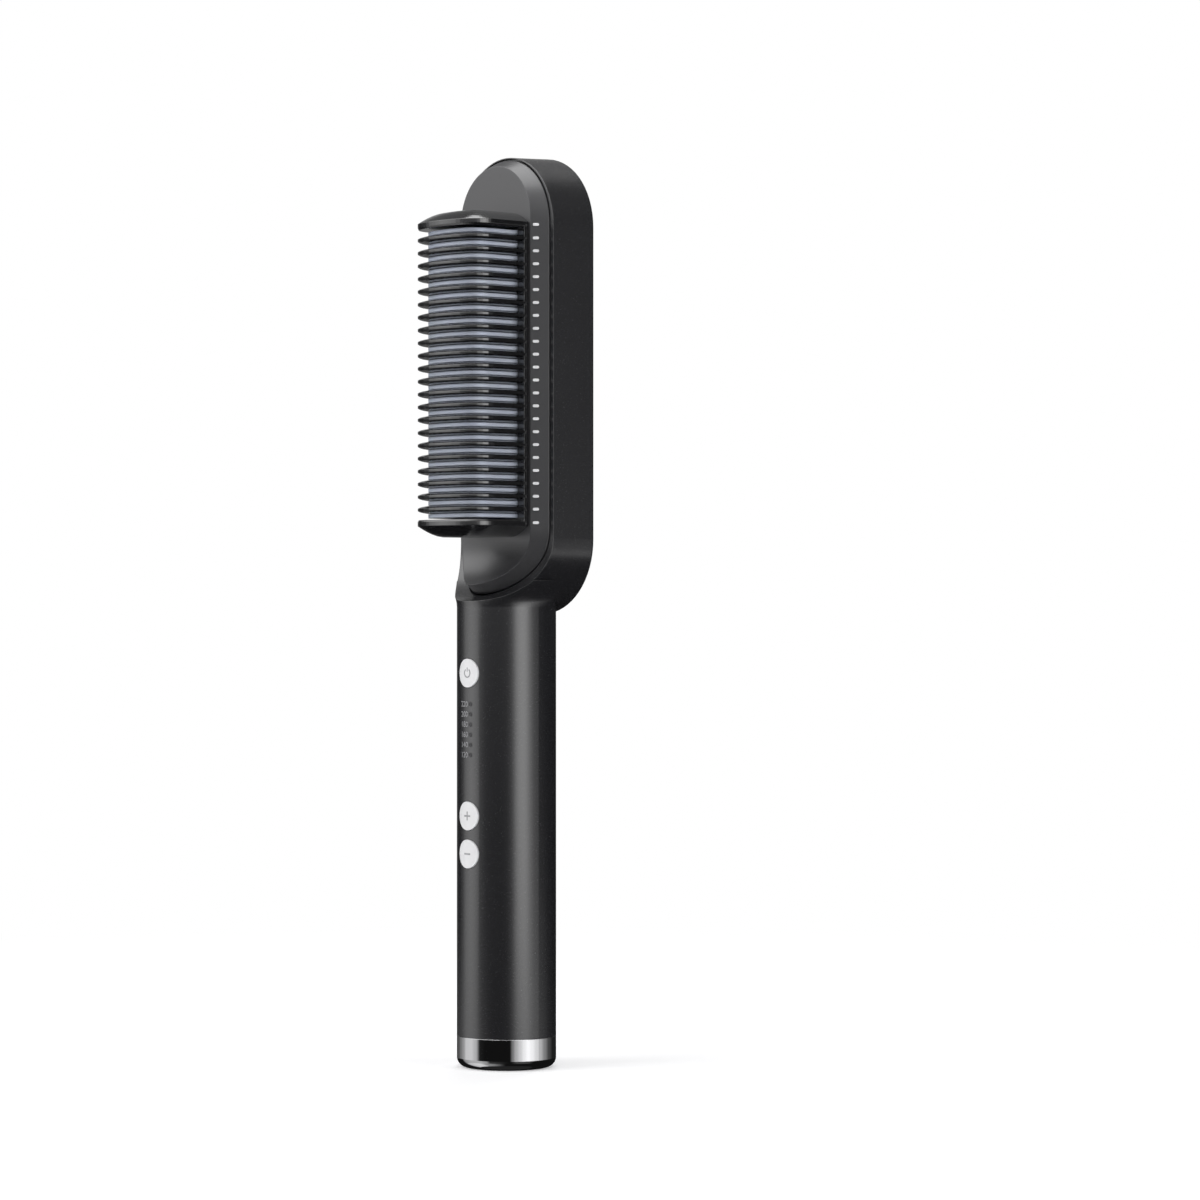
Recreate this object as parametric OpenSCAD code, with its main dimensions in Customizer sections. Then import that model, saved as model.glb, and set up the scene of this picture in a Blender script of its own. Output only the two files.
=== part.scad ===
// Hair straightening brush: a round handle that flares into a long flat head.
// Millimetres. The handle stands on the floor at the origin, +Z runs up the handle,
// the comb faces -Y and the crowned back panel faces +Y.

/* [Handle] */
// Height of the whole brush, floor to the top of the head
total_h = 275; // [262:1:290]
// Outside diameter of the round handle
handle_d = 30; // [28.5:0.5:31]
// Wall of the handle and of the head's sides
wall = 1.8; // [1.5:0.1:2]
// Height of the chrome ring at the foot
ring_h = 9.5; // [8.5:0.5:11]
// Rounding of the chrome ring's lower corner
ring_r = 3; // [2:0.5:3.5]
// Wall of the chrome ring
ring_wall = 1.7; // [1.3:0.1:2]

/* [Head] */
// Width of the head at its back rim
head_w = 44.7; // [43.5:0.1:47]
// Draft of each side wall, from the back rim to the front rim
head_draft = 0.65; // [0:0.05:0.8]
// Depth of the head, front rim to back rim
head_depth = 15.8; // [15.6:0.1:17]
// Height of the centre of the head's lower arc
head_low_z = 159; // [156:1:162]
// Thickness of the wall between the head's cavity and the back recess
back_wall = 1.6; // [1.2:0.1:2]
// Depth of the recess that takes the back panel and its ring
back_recess = 2.4; // [2:0.1:2.6]
// Rounding of the back rim
rim_r = 0.9; // [0.5:0.1:1]
// Width of the back rim, seen from behind
rim_w = 1; // [0.9:0.1:1.5]
// Steepness of the neck's flare, from the vertical
flare_angle = 33.5; // [30:0.1:35]
// Radius of the hollow where the flare leaves the handle
flare_fillet = 8; // [6:0.5:9]
// Drop from the lower arc's centre to the start of the flare
flare_drop = 20.3; // [19:0.1:22]

/* [Front cover] */
// Width of the housing's lip around the cover
lip_w = 1.8; // [1.5:0.1:2.4]
// Height of the cover's middle above the lip
plateau_rise = 4.4; // [3.8:0.1:4.7]
// Width of the cover's flat middle outside the comb
plateau_margin = 0.9; // [0.6:0.1:1.5]
// Distance of the cover's lower nose behind the front of the handle
nose_back = 1.1; // [0.6:0.1:1.8]
// Height of the cover's lower arc above the head's
cover_lift = 3.5; // [3:0.1:4.5]
// Thickness of the cover under its rim
cover_t = 1.8; // [1.4:0.1:2.2]
// Gap around the cover
cover_gap = 0.5; // [0.3:0.05:0.7]

/* [Comb] */
// Distance from the head's lower end up to the comb
comb_low_gap = 22.8; // [22.6:0.1:30]
// Distance from the comb to the top of the head
comb_high_gap = 17.9; // [14:0.1:25]
// Distance from ridge to ridge
ridge_pitch = 3.85; // [3.8:0.01:4.1]
// Thickness of a ridge at its root
ridge_t = 2.3; // [1.8:0.05:2.35]
// Thickness of a ridge at its tip
ridge_tip_t = 0.7; // [0.5:0.1:1]
// Depth of the rounding along a ridge's edge
ridge_round = 2.8; // [2:0.1:4]
// Half width of the comb
comb_half_w = 15.4; // [14.5:0.1:15.8]
// Distance that the comb stands out from the head's front rim
comb_reach = 27.6; // [25:0.2:31]
// Radius of the comb's outline at each shoulder
shoulder_r = 8.5; // [7:0.5:9.5]
// Radius of the comb's outline between the shoulders
crest_r = 30; // [24:1:40]
// Thickness of each end plate
end_plate_t = 5.1; // [4.6:0.1:5.1]
// Depth of the dome's slope on an end plate
end_round = 7.6; // [6:0.1:8]
// Distance that the metal fins stay inside the ridges' outline
fin_inset = 3.2; // [3:0.1:5]
// Thickness of a fin
fin_t = 1.2; // [1:0.05:1.2]
// Thickness of the comb guard's base flange
flange_t = 1.6; // [1.2:0.1:2]

/* [Heater] */
// Thickness of the heating plate's base
plate_t = 4.4; // [4.1:0.1:4.8]
// Number of ceramic heating tablets
tablet_count = 4; // [3:1:5]
// Thickness of a tablet
tablet_t = 2.4; // [2:0.1:2.5]
// Thickness of the insulating film
film_t = 0.3; // [0.2:0.05:0.4]
// Thickness of the contact strip
strip_t = 0.5; // [0.3:0.1:0.6]
// Thickness of the mica board
mica_t = 0.8; // [0.6:0.1:1]
// Thickness of the clamp bracket
bracket_t = 1.2; // [1:0.1:1.4]
// Radius of the small screws
screw_r = 1; // [0.8:0.1:1.2]

/* [Back] */
// Width of the coloured ring at the sides
accent_w = 3.2; // [2.6:0.1:3.8]
// Height of the ring's crest over the back rim
accent_rise = 0.5; // [0.2:0.1:0.8]
// Height of the panel's crown over the back rim
panel_crown = 1.2; // [0.8:0.1:1.6]
// Extra width of the coloured ring at its ends
accent_end = 1.6; // [0.5:0.1:2]

/* [Buttons] */
// Diameter of the three buttons
button_d = 8.6; // [7.5:0.1:9.5]
// Distance from the start of the flare down to the power button
power_drop = 19.8; // [16:0.1:22]
// Distance from the start of the flare down to the plus button
plus_drop = 62.6; // [56:0.1:66]
// Space between the plus button and the minus button
button_space = 2.8; // [2.6:0.1:5]
// Distance that a button stands out of the handle
button_proud = 0.4; // [0.3:0.05:0.6]
// Travel of a button
button_travel = 0.6; // [0.4:0.05:0.8]
// Radial clearance between a button and its bore
button_gap = 0.08; // [0.05:0.01:0.1]
// Number of indicator windows
lamp_count = 6; // [4:1:7]
// Distance from the start of the flare down to the highest indicator window
lamp_drop = 29.15; // [28.5:0.05:33]
// Distance from window to window
lamp_pitch = 3.05; // [2.8:0.05:3.1]
// Radius of a window
lamp_r = 0.6; // [0.5:0.05:0.8]
// Distance of the windows from the centre line
lamp_x = 1.1; // [0.8:0.1:1.6]

/* [Inside the handle] */
// Lower end of the board carrier
carrier_low_z = 22; // [20:1:26]
// Distance from the start of the flare down to the board carrier's upper end
carrier_drop = 4.7; // [3:0.1:8]
// Wall of the board carrier
carrier_t = 1.6; // [1.3:0.1:2]
// Thickness of the control board
board_t = 1.2; // [1:0.1:1.6]
// Width of the control board
board_w = 18; // [16:0.5:19]
// Height of a tact switch's case
switch_h = 3.2; // [2.8:0.1:3.4]
// Width of a tact switch's case
switch_w = 6; // [5:0.5:6.5]
// Length of the power relay along the board
relay_len = 12; // [10:0.5:13]
// Length of the filter capacitor along the board
capacitor_len = 6; // [5:0.5:7]

/* [Cord bush] */
// Radius of the bush's cord hole
cord_hole_r = 3.1; // [2.6:0.1:3.4]
// Wall of the bush
bush_wall = 1.7; // [1.4:0.1:2]
// Radial clearance of the bush in the end cap
bush_gap = 0.06; // [0.03:0.01:0.1]
// Thickness of the end cap's floor
cap_floor = 4; // [3:0.25:5]

/* [Hidden] */
$fn = 96;

// Clearances: a piece laid on its seat, a piece in its pocket, a screw in its hole and
// a screw's thread in its pilot bore
sit_gap = 0.2;
fit_gap = 0.1;
hole_gap = 0.15;
pilot_gap = 0.05;
// Faces that lie against each other
face_gap = 0.03;

plastic = "#2b2b2e";
cover_grey = "#4a4a4e";
fin_blue = "#aeb6c6";
steel = "#c0c2c6";

// Handle and head
handle_r = handle_d/2;
bore_r = handle_r - wall;
head_r = head_w/2;
front_r = head_r - head_draft;
head_high_z = total_h - head_r;
flare_z = head_low_z - flare_drop;
neck_top_z = head_low_z - head_r*sin(flare_angle);
neck_back_y = handle_r + sit_gap;
outline_inset = 0.02;

// The front of the neck is hollowed by a cylinder across the brush. It leaves the lip at
// the lower arc's centre and meets the front of the handle scoop_drop below it.
scoop_drop = front_r - 3.2;
scoop_r = (handle_r*handle_r + scoop_drop*scoop_drop)/(2*handle_r);

// Cover, its pocket and the cavity behind it
edge_rise = 0.15;
plateau_r = comb_half_w + plateau_margin;
cover_r = front_r - lip_w;
cover_low_z = head_low_z + cover_lift;
cover_high_z = head_high_z + 1;
nose_drop = sqrt(pow(scoop_r - plateau_rise, 2) - pow(scoop_r - handle_r + nose_back, 2));
plateau_low_z = head_low_z + plateau_r - nose_drop;
plateau_high_z = head_high_z + 2.5;
ledge_w = 1.2;
pocket_r = cover_r + cover_gap;
cavity_r = cover_r - ledge_w;
recess_y = head_depth - back_recess;
cavity_back_y = recess_y - back_wall;

// Comb outline: two shoulders joined by a flatter crest
flange_back_y = -plateau_rise - face_gap;
flange_front_y = flange_back_y - flange_t;
shoulder_x = comb_half_w - shoulder_r;
crest_y = crest_r - comb_reach;
crest_span = crest_r - shoulder_r;
shoulder_y = crest_y - sqrt(crest_span*crest_span - shoulder_x*shoulder_x);
crest_half = asin(shoulder_x/crest_span);
fin_gap = 0.15;
end_fin_gap = 0.6;
comb_low_z = head_low_z - head_r + comb_low_gap;
comb_high_z = total_h - comb_high_gap;
comb_mid_z = (comb_low_z + comb_high_z)/2;
ridge_room = comb_high_z - comb_low_z - 2*end_plate_t - fin_t - 2*end_fin_gap;
ridge_count = floor(ridge_room/ridge_pitch);
inner_half = ridge_count/2*ridge_pitch + fin_t/2 + end_fin_gap;
comb_half = inner_half + end_plate_t;
end_nose = 1.8;

// Heating plate and the stack behind it
plate_half_w = comb_half_w - fin_inset + 1;
plate_half = inner_half + 0.6;
window_gap = 0.3;
plate_front_y = flange_back_y + sit_gap;
plate_back_y = plate_front_y + plate_t;
film_back_y = plate_back_y + film_t;
tablet_back_y = film_back_y + tablet_t;
strip_back_y = tablet_back_y + strip_t;
strip_mid_y = tablet_back_y + strip_t/2;
mica_back_y = strip_back_y + mica_t;
bracket_back_y = mica_back_y + bracket_t;
pillar_r = screw_r + 1.2;
pillar_inset = 4;
pillar_x = plate_half_w - pillar_inset;
pillar_z = plate_half - pillar_r - 0.4;
stack_half = pillar_z - pillar_r - 0.8;
tablet_pitch = 2*stack_half/tablet_count;
tablet_gap = 1;
tablet_inset = 3.5;
tablet_half_w = plate_half_w - tablet_inset;
film_half_w = tablet_half_w + 0.7;
side_x = (film_half_w + plate_half_w)/2;
sensor_w = 2.2;
sensor_t = 1.4;
sensor_len = 5;
fuse_r = 1.2;
fuse_len = 10;
ear_z = comb_half - 1.2;
ear_w = 3.4;
ear_screw_len = 4.5;
ear_tip_y = mica_back_y - ear_screw_len;
rib_w = 1.2;
rib_h = 1.6;
screw_head_h = 1.2;

// Screws that hold the cover to the housing, under the back panel
boss_split_y = 9;
boss_r = screw_r + 1.6;
boss_wall = 1.6;
boss_high_gap = 2.8;
boss_low_gap = 4.6;
upper_boss_z = cover_high_z + cavity_r - boss_r - boss_high_gap;
lower_boss_z = cover_low_z - cavity_r + boss_r + boss_low_gap;
cover_head_h = back_wall - sit_gap;
cover_screw_len = 8.8;
cover_tip_y = recess_y - back_wall - cover_screw_len;

// Buttons, indicator and board
button_r = button_d/2;
power_z = flare_z - power_drop;
plus_z = flare_z - plus_drop;
minus_z = plus_z - button_d - button_space;
button_flange_r = button_r + 1.2;
button_flange_t = 1;
flange_rest_y = -sqrt(bore_r*bore_r - button_flange_r*button_flange_r);
button_foot_r = 1.5;
button_foot_y = flange_rest_y + button_flange_t + fit_gap;
plunger_h = 0.6;
plunger_r = 1.7;
switch_gap = 0.05;
plunger_y = button_foot_y + button_travel + switch_gap;
board_front_y = plunger_y + plunger_h + switch_h;
board_back_y = board_front_y + board_t;
shelf_back_y = board_back_y + carrier_t;
board_end = 2;
carrier_high_z = flare_z - carrier_drop;
board_low_z = carrier_low_z + board_end;
board_high_z = carrier_high_z - board_end;
relay_w = 11;
relay_h = 4.6;
relay_low_z = board_low_z + 2;
capacitor_w = 10;
capacitor_h = 4.2;
capacitor_low_z = relay_low_z + relay_len + 1;
lamp_w = 1.6;
lamp_len = 1.2;
lamp_h = 1;
lamp_top_y = board_front_y - lamp_h;
lens_half_w = 0.9;
lens_front_y = -sqrt(bore_r*bore_r - pow(lamp_x + lens_half_w, 2)) + sit_gap;
lens_end = 1.2;
lamp_high_z = flare_z - lamp_drop;
lamp_low_z = lamp_high_z - (lamp_count - 1)*lamp_pitch;

// Leads from the board's terminals up to the contact strips
lead_r = 0.8;
lead_x = pillar_x - pillar_r - lead_r - fit_gap;
lead_low_y = board_front_y - lead_r - fit_gap;
lead_low_z = board_high_z - 1;
lead_turn_low_z = carrier_high_z;
lead_turn_drop = 11;
lead_turn_high_z = head_low_z - lead_turn_drop;
lead_high_z = comb_mid_z - stack_half;
lead_turn_steps = 8;
terminal_h = 4;
terminal_w = 2.4;

// Foot of the handle
lip_t = 1.4;
cap_r = bore_r - fit_gap;
cap_top_z = carrier_low_z - 3;
cap_floor_z = lip_t + cap_floor;
bush_r = cord_hole_r + bush_wall;
bush_lip_r = bush_r + 0.8;
bush_lip_t = lip_t - fit_gap;
clip_t = 1.5;
clip_r = bush_lip_r + fit_gap;
clip_low_z = cap_floor_z + fit_gap;
bush_top_z = clip_low_z + clip_t + 1.5;
post_r = screw_r + 1;
post_angle = 38.3;
post_reach = clip_r + sit_gap + post_r;
post_x = post_reach*cos(post_angle);
post_y = post_reach*sin(post_angle);
cap_head_r = screw_r + 0.7;
cap_screw_low_z = lip_t + sit_gap;
cap_screw_grip = 6.6;
cap_screw_len = cap_floor + cap_screw_grip;
ring_lip_r = post_reach + cap_head_r + 2*sit_gap;
carrier_r = bore_r - sit_gap;
clamp_rise = 8;
clamp_low_z = carrier_low_z + clamp_rise;
clamp_len = 8;
clamp_foot_t = 1.8;
clamp_head_r = screw_r + 0.8;
clamp_x = cord_hole_r + clamp_foot_t + clamp_head_r + sit_gap;
clamp_end = 2;

// Depth of the surface that lies d behind the lip's, at height z
function surface_y(z, d) = z >= head_low_z ? d
    : -scoop_r + sqrt(pow(scoop_r + d, 2) - pow(head_low_z - z, 2));

// A half turn of a half outline about the head's lower arc
module lower_end() {
    rotate([-90, 0, 0]) rotate_extrude(angle = 180) children();
}

// A half outline of the head, swept round the slot shape between two arc centres
module slot_sweep(low = head_low_z, high = head_high_z) {
    translate([0, 0, high]) mirror([0, 0, 1]) lower_end() children();
    translate([0, 0, low]) lower_end() children();
    translate([0, 0, low]) linear_extrude(high - low) {
        children();
        mirror([1, 0]) children();
    }
}

module slot_block(r, y0, y1, low = head_low_z, high = head_high_z) {
    slot_sweep(low, high) translate([0, y0]) square([r, y1 - y0]);
}

// A round bar along +Y from y0 to y1
module bar_y(r, y0, y1, x = 0, z = 0) {
    translate([x, y0, z]) rotate([-90, 0, 0]) cylinder(r = r, h = y1 - y0);
}

// A box between two corners
module box_between(a, b) {
    translate(a) cube(b - a);
}

// Everything in front of the lip's surface, moved back by d
module in_front(d = 0, reach = 40) {
    rotate([90, 0, 90]) translate([0, 0, -reach]) linear_extrude(2*reach) {
        translate([-scoop_r, head_low_z]) circle(scoop_r + d);
        translate([-reach, head_low_z]) square([reach + d, total_h]);
    }
}

// Half outline of the handle and of the flare that carries the head
module stem_profile() {
    flare_x = handle_r + flare_fillet*(1 - cos(flare_angle));
    flare_top = flare_z + flare_fillet*sin(flare_angle);
    top_x = flare_x + (head_low_z - flare_top)*tan(flare_angle);
    translate([0, ring_h]) square([handle_r, flare_z - ring_h]);
    difference() {
        polygon([[0, flare_z], [flare_x, flare_z], [flare_x, flare_top],
            [top_x, head_low_z], [0, head_low_z]]);
        translate([handle_r + flare_fillet, flare_z]) circle(flare_fillet);
    }
}

// Half section of the head, front rim at Y = 0
module head_profile() {
    polygon([[0, 0], [front_r, 0], [head_r, head_depth - rim_r],
        [head_r - rim_r, head_depth], [0, head_depth]]);
    translate([head_r - rim_r, head_depth - rim_r]) circle(rim_r);
}

// The flare, kept within the head's outline where it is wider than the handle
module neck_body() {
    side_r = front_r - outline_inset;
    intersection() {
        rotate_extrude() stem_profile();
        union() {
            box_between([-head_r, -head_r, 0], [head_r, neck_back_y, neck_top_z]);
            translate([0, 0, head_low_z]) lower_end() translate([0, -head_r])
                square([side_r, head_r + head_depth - rim_r]);
        }
    }
}

module head_body() {
    translate([0, 0, head_high_z]) mirror([0, 0, 1]) lower_end() head_profile();
    translate([0, 0, head_low_z]) {
        lower_end() head_profile();
        linear_extrude(head_high_z - head_low_z) {
            head_profile();
            mirror([1, 0]) head_profile();
        }
    }
}

module at_bosses() {
    for (z = [lower_boss_z, upper_boss_z]) translate([0, 0, z]) children();
}

module at_buttons() {
    for (z = [power_z, plus_z, minus_z]) translate([0, 0, z]) children();
}

module at_lamps() {
    for (i = [0:lamp_count - 1]) translate([lamp_x, 0, lamp_low_z + i*lamp_pitch]) children();
}

module housing_hollow() {
    slot_block(cavity_r, -head_r, cavity_back_y, cover_low_z, cover_high_z);
    difference() {
        translate([0, 0, ring_h - 1]) cylinder(r = bore_r, h = neck_top_z - ring_h + 1);
        in_front(cover_t + wall);
    }
}

module main_housing() color(plastic) difference() {
    union() {
        difference() {
            union() {
                neck_body();
                head_body();
            }
            in_front();
            intersection() {
                slot_block(pocket_r, -head_r, head_r, cover_low_z, cover_high_z);
                in_front(cover_t);
            }
            housing_hollow();
        }
        at_bosses() bar_y(boss_r + boss_wall, boss_split_y, recess_y - back_wall/2);
    }
    slot_block(head_r - rim_w, recess_y, head_r);
    at_bosses() {
        bar_y(screw_r + 2*hole_gap, boss_split_y - 1, recess_y + 1);
        bar_y(boss_r, recess_y - back_wall, recess_y + 1);
    }
    at_buttons() bar_y(button_r + button_gap, -head_r, 0);
    at_lamps() bar_y(lamp_r + pilot_gap, -head_r, 0);
}

// Cover: three rings of points round the slot shape, closed by level strips
arc_steps = 60;
function slot_ring(r, low, high, d) = [
    for (i = [0:2*arc_steps + 1])
        let (upper = i <= arc_steps, a = 180*(upper ? i : i - 1)/arc_steps,
            z = (upper ? high : low) + r*sin(a))
        [r*cos(a), surface_y(z, d), z]
];
ring_n = 2*arc_steps + 2;

// Point j of a ring has its mirror image at the same height
function twin(j) = j <= arc_steps ? arc_steps - j : 3*arc_steps + 2 - j;

function band(a, b) = [
    for (i = [0:ring_n - 1]) let (k = (i + 1) % ring_n)
        each [[a*ring_n + i, b*ring_n + k, a*ring_n + k], [a*ring_n + i, b*ring_n + i, b*ring_n + k]]
];

// The right half of a ring, from its lowest point up to its highest
function right_side() = concat([for (j = [0:arc_steps/2]) arc_steps + 1 + arc_steps/2 + j],
    [for (j = [0:arc_steps/2]) j]);

function cap(a, flip) = let (side = right_side()) [
    for (i = [0:len(side) - 2])
        let (p = a*ring_n + side[i], q = a*ring_n + side[i + 1],
            s = a*ring_n + twin(side[i + 1]), t = a*ring_n + twin(side[i]),
            face = p == t ? [p, q, s] : q == s ? [p, q, t] : [p, q, s, t])
        flip ? [for (k = [len(face) - 1:-1:0]) face[k]] : face
];

module cover_shell() {
    points = concat(slot_ring(cover_r, cover_low_z, cover_high_z, cover_t - face_gap),
        slot_ring(cover_r, cover_low_z, cover_high_z, -edge_rise),
        slot_ring(plateau_r, plateau_low_z, plateau_high_z, -plateau_rise));
    polyhedron(points, concat(cap(0, false), band(0, 1), band(1, 2), cap(2, true)));
}

module front_cover() color(cover_grey) difference() {
    union() {
        cover_shell();
        at_bosses() bar_y(boss_r, edge_rise - cover_t, boss_split_y);
        at_ears() bar_y(boss_r, 0, mica_back_y);
    }
    window_w = plate_half_w + window_gap;
    window_h = plate_half + window_gap;
    box_between([-window_w, -head_r, comb_mid_z - window_h], [window_w, head_r, comb_mid_z + window_h]);
    at_bosses() bar_y(screw_r + pilot_gap, cover_tip_y - fit_gap, boss_split_y + 1);
    at_ears() bar_y(screw_r + pilot_gap, ear_tip_y - fit_gap, mica_back_y + 1);
}

// Comb outline in plan, moved in by inset, from the root at y_root to the crest
module comb_outline(inset, y_root) {
    far = 2*comb_reach;
    for (s = [-1, 1]) translate([s*shoulder_x, shoulder_y]) circle(shoulder_r - inset);
    translate([inset - comb_half_w, shoulder_y])
        square([2*(comb_half_w - inset), y_root - shoulder_y]);
    intersection() {
        translate([0, crest_y]) circle(crest_r - inset);
        polygon([[0, crest_y], [far*tan(crest_half), crest_y - far],
            [-far*tan(crest_half), crest_y - far]]);
        translate([-far, y_root - 2*far]) square(2*far);
    }
}

// The same outline as a ring of points, from the left root round the crest to the right root
function comb_ring(inset, y_root, steps) = let (w = comb_half_w - inset, r = shoulder_r - inset,
        c = crest_r - inset, n = ceil(steps/2), turn = (90 - crest_half)/steps)
    concat([[-w, y_root]],
        [for (i = [0:steps]) let (a = 180 + turn*i) [r*cos(a) - shoulder_x, r*sin(a) + shoulder_y]],
        [for (i = [1:2*n - 1]) let (a = 270 + crest_half*(i/n - 1)) [c*cos(a), c*sin(a) + crest_y]],
        [for (i = [steps:-1:0]) let (a = 360 - turn*i) [r*cos(a) + shoulder_x, r*sin(a) + shoulder_y]],
        [[w, y_root]]);

// A slab of the comb's outline with a shaped edge: each level has a height and an inset
module comb_loft(y_root, levels, steps) {
    n = len(comb_ring(0, y_root, steps));
    top = len(levels) - 1;
    polyhedron([for (level = levels) for (p = comb_ring(level[1], y_root, steps)) [p[0], p[1], level[0]]],
        concat([[for (i = [0:n - 1]) i]],
            [for (k = [0:top - 1], i = [0:n - 1]) let (a = n*k + i, b = n*k + (i + 1) % n)
                each [[a, a + n, b + n], [a, b + n, b]]],
            [[for (i = [n - 1:-1:0]) n*top + i]]));
}

// A ridge's edge thins towards its tip, an end plate's outer side is a shallow dome
edge_shares = [[1, 1], [0.7, 0.5], [0.36, 0.18]];
ridge_swell = (ridge_t - ridge_tip_t)/2;
ridge_levels = concat(
    [for (e = edge_shares) [-ridge_tip_t/2 - ridge_swell*e[0], ridge_round*e[1]]],
    [[-ridge_tip_t/2, 0], [ridge_tip_t/2, 0]],
    [for (i = [2:-1:0]) [ridge_tip_t/2 + ridge_swell*edge_shares[i][0], ridge_round*edge_shares[i][1]]]);
ridge_steps = 6;
dome_turns = 12;
dome_steps = 6;
dome_levels = concat([[0, 0.3], [end_nose/3, 0]],
    [for (i = [0:dome_steps]) let (t = pow(i/dome_steps, 1.5))
        [end_nose + (end_plate_t - end_nose)*(1 - pow(1 - t, 1.6)), end_round*t]]);

function ridge_z(i) = comb_mid_z + (i - (ridge_count - 1)/2)*ridge_pitch;
function fin_z(i) = comb_mid_z + (i - ridge_count/2)*ridge_pitch;

module comb_guard() color(plastic) {
    root_y = flange_front_y + flange_t/2;
    flange_half = inner_half + end_nose/3;
    for (i = [0:ridge_count - 1]) translate([0, 0, ridge_z(i)]) comb_loft(root_y, ridge_levels, ridge_steps);
    for (s = [0, 1]) translate([0, 0, comb_mid_z]) mirror([0, 0, s]) translate([0, 0, inner_half])
        comb_loft(flange_back_y, dome_levels, dome_turns);
    difference() {
        box_between([-comb_half_w, flange_front_y, comb_mid_z - flange_half],
            [comb_half_w, flange_back_y, comb_mid_z + flange_half]);
        slot_w = comb_half_w - fin_inset + fin_gap;
        slot_h = fin_t/2 + fin_gap;
        for (i = [0:ridge_count])
            box_between([-slot_w, -comb_reach, fin_z(i) - slot_h], [slot_w, 0, fin_z(i) + slot_h]);
    }
}

module at_ears() {
    for (s = [-1, 1]) translate([0, 0, comb_mid_z + s*ear_z]) children();
}

module at_pillars() {
    for (x = [-pillar_x, pillar_x], z = [-pillar_z, pillar_z])
        translate([x, 0, comb_mid_z + z]) children();
}

module heating_plate() color(fin_blue) difference() {
    union() {
        box_between([-plate_half_w, plate_front_y, comb_mid_z - plate_half],
            [plate_half_w, plate_back_y, comb_mid_z + plate_half]);
        for (i = [0:ridge_count]) translate([0, 0, fin_z(i) - fin_t/2])
            linear_extrude(fin_t) comb_outline(fin_inset, plate_front_y + 1);
        at_pillars() bar_y(pillar_r, plate_back_y - 1, mica_back_y);
    }
    at_pillars() bar_y(screw_r + pilot_gap, plate_front_y + 1.5, mica_back_y + 1);
}

// Pale stubs of the guard's snap tabs, one beside each ridge and each end plate
module guard_clips() color("#e6e6ea") {
    clip_w = 1.9;
    clip_h = 0.85;
    clip_in = 0.7;
    clip_rise = 0.4;
    bevel = atan2(plateau_rise - edge_rise, cover_r - plateau_r);
    heights = concat([for (i = [0:ridge_count - 1]) ridge_z(i)],
        [for (s = [-1, 1]) comb_mid_z + s*(inner_half + 0.9)]);
    for (s = [0, 1], z = heights) mirror([s, 0, 0])
        translate([plateau_r, -plateau_rise, z]) rotate([0, 0, bevel]) rotate([90, 0, 0])
            linear_extrude(clip_rise) {
                for (x = [clip_h/2, clip_w - clip_h/2])
                    translate([clip_in + x, 0]) circle(clip_h/2, $fn = 24);
                translate([clip_in + clip_h/2, -clip_h/2]) square([clip_w - clip_h, clip_h]);
            }
}

ring_out = head_r - rim_w - fit_gap;
panel_r = ring_out - accent_w;
panel_low_z = head_low_z + accent_end;
panel_high_z = head_high_z - accent_end;

module accent_ring() color("#d77fc4") difference() {
    ring_in = panel_r - accent_end;
    half = (ring_out - ring_in)/2;
    crown_r = (half*half + accent_rise*accent_rise)/(2*accent_rise);
    slot_sweep() intersection() {
        translate([ring_in, recess_y]) square([2*half, back_recess + 2]);
        translate([ring_in + half, head_depth + accent_rise - crown_r]) circle(crown_r);
    }
    slot_block(panel_r, 0, 2*head_depth, panel_low_z, panel_high_z);
}

module back_panel() color("#1c1c1e") {
    face_r = panel_r - fit_gap;
    edge_y = head_depth - fit_gap;
    sag = head_depth + panel_crown - edge_y;
    crown_r = (face_r*face_r + sag*sag)/(2*sag);
    slot_sweep(panel_low_z, panel_high_z) intersection() {
        translate([0, recess_y]) square([face_r, back_recess + 2]);
        translate([0, head_depth + panel_crown - crown_r]) circle(crown_r, $fn = 360);
    }
}

// A screw along Y: its head lies behind head_y, its tip points to -Y
module screw_y(tip_y, head_y, head_r, head_h, x = 0, z = 0) {
    difference() {
        union() {
            bar_y(screw_r, tip_y, head_y, x, z);
            bar_y(head_r, head_y, head_y + head_h, x, z);
        }
        translate([x, head_y + head_h, z]) for (a = [0, 90]) rotate([0, a, 0])
            cube([head_r*1.2, head_h, head_r*0.3], center = true);
    }
}

module cover_screws() color(steel)
    at_bosses() screw_y(cover_tip_y, recess_y - back_wall, boss_r - 0.3, cover_head_h);

module insulation_film() color("#b8742c")
    box_between([-film_half_w, plate_back_y, comb_mid_z - stack_half],
        [film_half_w, film_back_y, comb_mid_z + stack_half]);

module heating_tablets() color("#8a8f98")
    for (i = [0:tablet_count - 1]) translate([0, 0, comb_mid_z + (i - (tablet_count - 1)/2)*tablet_pitch])
        box_between([-tablet_half_w, film_back_y, (tablet_gap - tablet_pitch)/2],
            [tablet_half_w, tablet_back_y, (tablet_pitch - tablet_gap)/2]);

module contact_strip() color("#c9a24a")
    box_between([-tablet_half_w, tablet_back_y, comb_mid_z - stack_half],
        [tablet_half_w, strip_back_y, comb_mid_z + stack_half]);

module mica_board() color("#d8cfb4")
    box_between([-film_half_w, strip_back_y, comb_mid_z - stack_half],
        [film_half_w, mica_back_y, comb_mid_z + stack_half]);

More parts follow.
